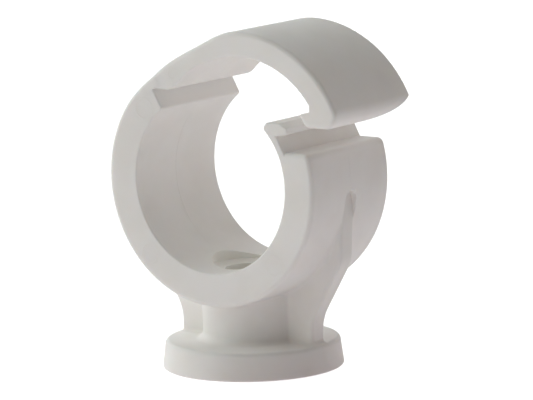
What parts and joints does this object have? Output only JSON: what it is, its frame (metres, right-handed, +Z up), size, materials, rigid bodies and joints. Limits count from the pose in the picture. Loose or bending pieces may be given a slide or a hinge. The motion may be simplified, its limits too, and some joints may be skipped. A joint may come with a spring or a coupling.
{
  "type": "hinged pipe clip",
  "caption": "Hinged pipe clip on a round screw foot: a ring with side gussets holds the pipe, and an arm on a living hinge snaps behind a sprung tongue.",
  "frame": {"origin": "centre of the foot's bottom face, on the screw's axis", "axes": "+Z up from the wall along the screw, +Y along the pipe, +X towards the latch"},
  "size_m": [0.0235, 0.0154, 0.0293],
  "materials": {
    "plastic": "satin white moulded polypropylene"
  },
  "bodies": {
    "base": {"base": "plastic", "hinge_web": "plastic"},
    "arm": {"arm": "plastic"}
  },
  "joints": [
    {"name": "arm_hinge", "type": "hinge", "parent": "base", "child": "arm", "pos_m": [-0.00589, 0, 0.02445], "axis": [0, -1, 0], "range_deg": [-6, 100], "stiffness_Nm_per_rad": 0.05, "deforming": ["hinge_web"]}
  ]
}
